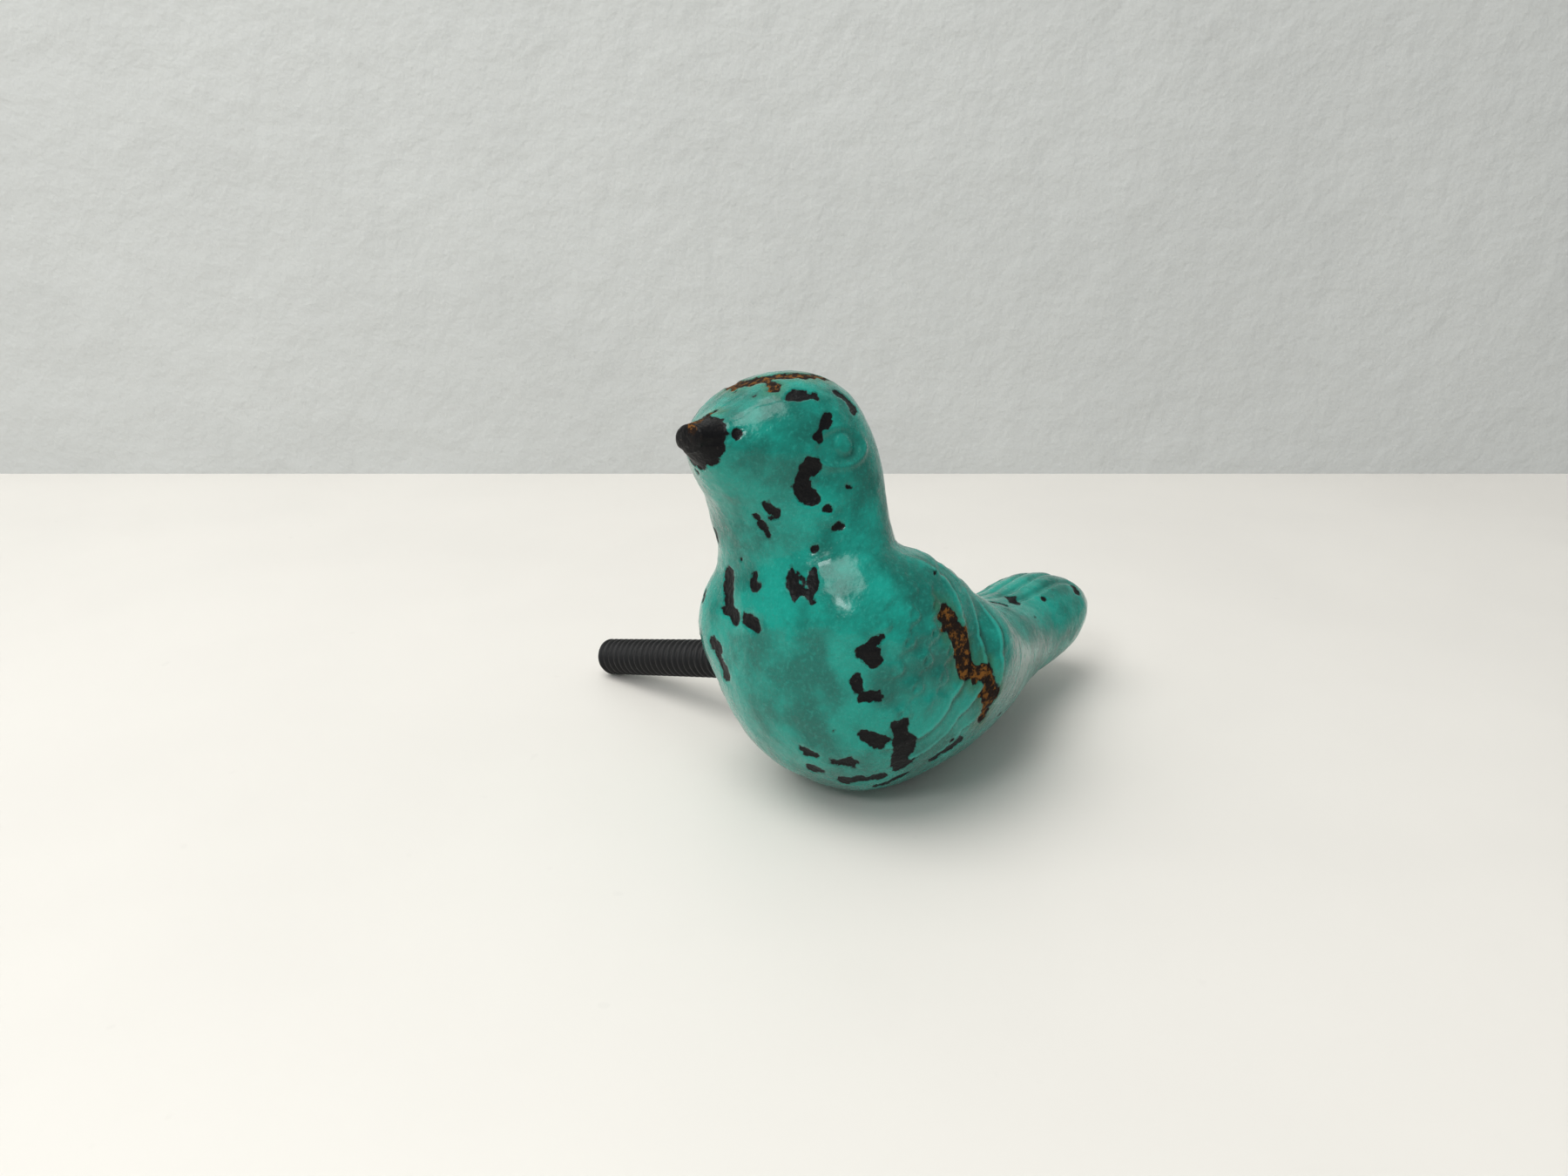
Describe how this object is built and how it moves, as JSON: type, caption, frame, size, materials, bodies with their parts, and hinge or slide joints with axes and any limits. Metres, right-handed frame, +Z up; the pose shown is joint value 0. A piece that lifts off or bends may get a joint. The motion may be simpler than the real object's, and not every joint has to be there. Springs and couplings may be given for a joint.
{
  "type": "bird shaped cabinet knob",
  "caption": "Plump bird shaped cast iron cabinet knob in distressed turquoise enamel, with a black threaded stud out of its flank.",
  "frame": {"origin": "on the floor, at the centre of the footprint of the knob as it lies on its belly and on the end of its stud", "axes": "+X from beak to tail, +Y level, towards the side that the stud comes out of, +Z up"},
  "size_m": [0.061, 0.0604, 0.0464],
  "materials": {
    "enamelled_iron": "glossy turquoise enamel over a black undercoat, chipped and rusty",
    "black_steel": "satin black oxide"
  },
  "bodies": {
    "root": {"bird_casting": "enamelled_iron", "threaded_stud": "black_steel"}
  },
  "joints": []
}
